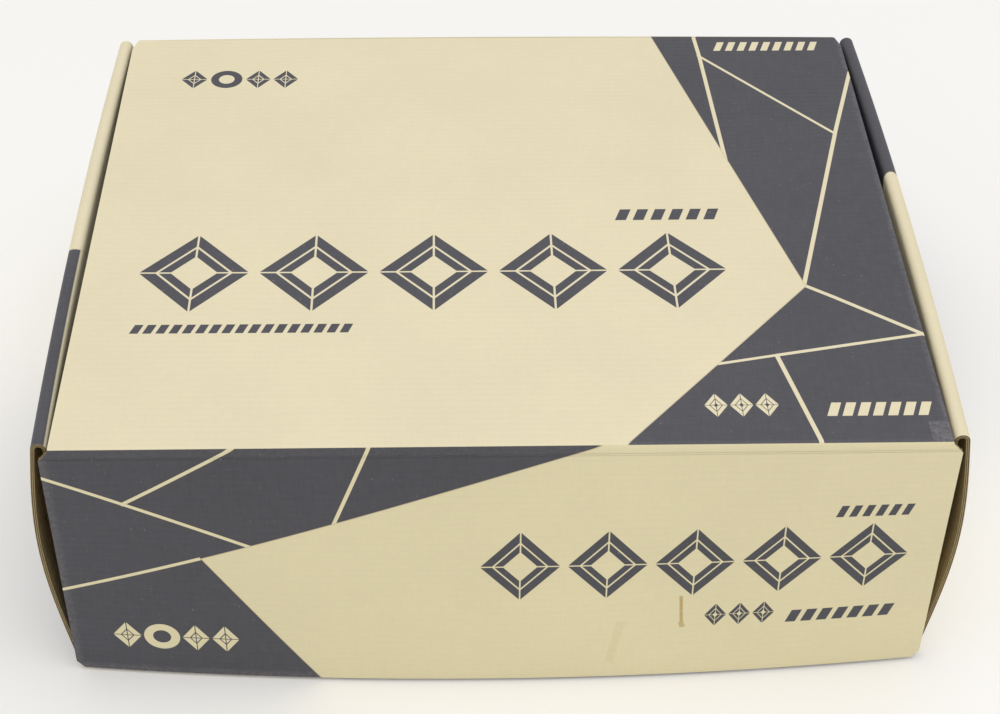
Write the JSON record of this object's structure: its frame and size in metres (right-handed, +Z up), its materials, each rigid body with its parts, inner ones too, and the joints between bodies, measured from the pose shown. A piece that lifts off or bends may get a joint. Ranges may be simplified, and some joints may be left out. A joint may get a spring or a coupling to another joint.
{
  "type": "boxed coaxial car speaker pair",
  "caption": "Retail carton with an opening lid and front flap, holding oval three-way coaxial car speakers in a die-cut insert with their screws and clips.",
  "frame": {"origin": "middle of the carton's underside, on the surface it stands on", "axes": "+X to the right seen from the front flap, +Y from the front flap to the rear crease, +Z up"},
  "size_m": [0.3614, 0.2928, 0.1221],
  "materials": {
    "printed_board": "offset-printed corrugated board, cream with charcoal shapes, matte with a fine linen grain",
    "kraft_board": "unprinted brown corrugated board",
    "leaflet_paper": "plain folded paper, unprinted",
    "black_zinc": "black zinc plating",
    "clip_steel": "spring steel, bright zinc",
    "basket_paint": "black powder coat on pressed steel",
    "gasket_foam": "matte black foam",
    "surround_rubber": "satin black butyl rubber",
    "cone_pulp": "moulded mineral-filled cone with a fine grain",
    "spider_cloth": "resin-dipped woven cloth",
    "former_kapton": "aluminium former with copper winding",
    "zinc_plate": "zinc-plated turned steel",
    "ferrite": "sintered ferrite, dark grey",
    "pod_plastic": "black textured moulding",
    "ring_aluminium": "spun bright aluminium",
    "midrange_film": "pressed polymer film",
    "dome_metal": "metallised film dome",
    "phenolic_board": "brown phenolic laminate",
    "terminal_brass": "plated brass blades",
    "capacitor_sleeve": "shrink sleeve, dark blue",
    "tinsel_copper": "braided copper lead"
  },
  "bodies": {
    "carton": {"base_panel": "kraft_board", "front_wall": "kraft_board", "rear_wall": "printed_board", "side_wall_left": "printed_board", "side_wall_right": "printed_board", "corner_flaps_front": "kraft_board", "corner_flaps_rear": "kraft_board", "insert_deck": "kraft_board", "leaflet": "leaflet_paper", "mounting_screws": "black_zinc", "speed_clips": "clip_steel", "basket_left": "basket_paint", "gasket_left": "gasket_foam", "surround_left": "surround_rubber", "spider_left": "spider_cloth", "top_plate_left": "zinc_plate", "magnet_left": "ferrite", "back_plate_left": "zinc_plate", "tweeter_post_left": "black_zinc", "driver_pod_left": "pod_plastic", "pod_rings_left": "ring_aluminium", "midrange_cone_left": "midrange_film", "tweeter_dome_left": "dome_metal", "driver_magnets_left": "zinc_plate", "terminal_board_left": "phenolic_board", "terminals_left": "terminal_brass", "capacitor_left": "capacitor_sleeve", "tinsel_leads_left": "tinsel_copper", "basket_right": "basket_paint", "gasket_right": "gasket_foam", "surround_right": "surround_rubber", "spider_right": "spider_cloth", "top_plate_right": "zinc_plate", "magnet_right": "ferrite", "back_plate_right": "zinc_plate", "tweeter_post_right": "black_zinc", "driver_pod_right": "pod_plastic", "pod_rings_right": "ring_aluminium", "midrange_cone_right": "midrange_film", "tweeter_dome_right": "dome_metal", "driver_magnets_right": "zinc_plate", "terminal_board_right": "phenolic_board", "terminals_right": "terminal_brass", "capacitor_right": "capacitor_sleeve", "tinsel_leads_right": "tinsel_copper"},
    "lid": {"lid_panel": "printed_board"},
    "front_flap": {"front_flap": "printed_board", "flap_ears": "kraft_board"},
    "cone_left": {"cone_left": "cone_pulp", "voice_coil_left": "former_kapton"},
    "cone_right": {"cone_right": "cone_pulp", "voice_coil_right": "former_kapton"}
  },
  "joints": [
    {"name": "lid_hinge", "type": "hinge", "parent": "carton", "child": "lid", "pos_m": [0, 0.14195, 0.1204], "axis": [-1, 0, 0], "range_deg": [0, 120]},
    {"name": "front_flap_fold", "type": "hinge", "parent": "lid", "child": "front_flap", "pos_m": [0, -0.14195, 0.1204], "axis": [-1, 0, 0], "range_deg": [0, 90]},
    {"name": "cone_left_travel", "type": "slide", "parent": "carton", "child": "cone_left", "axis": [0, 0, 1], "range_m": [-0.004, 0.004], "stiffness_N_per_m": 2000, "deforming": ["surround_left", "spider_left", "tinsel_leads_left"]},
    {"name": "cone_right_travel", "type": "slide", "parent": "carton", "child": "cone_right", "axis": [0, 0, 1], "range_m": [-0.004, 0.004], "stiffness_N_per_m": 2000, "deforming": ["surround_right", "spider_right", "tinsel_leads_right"]}
  ]
}
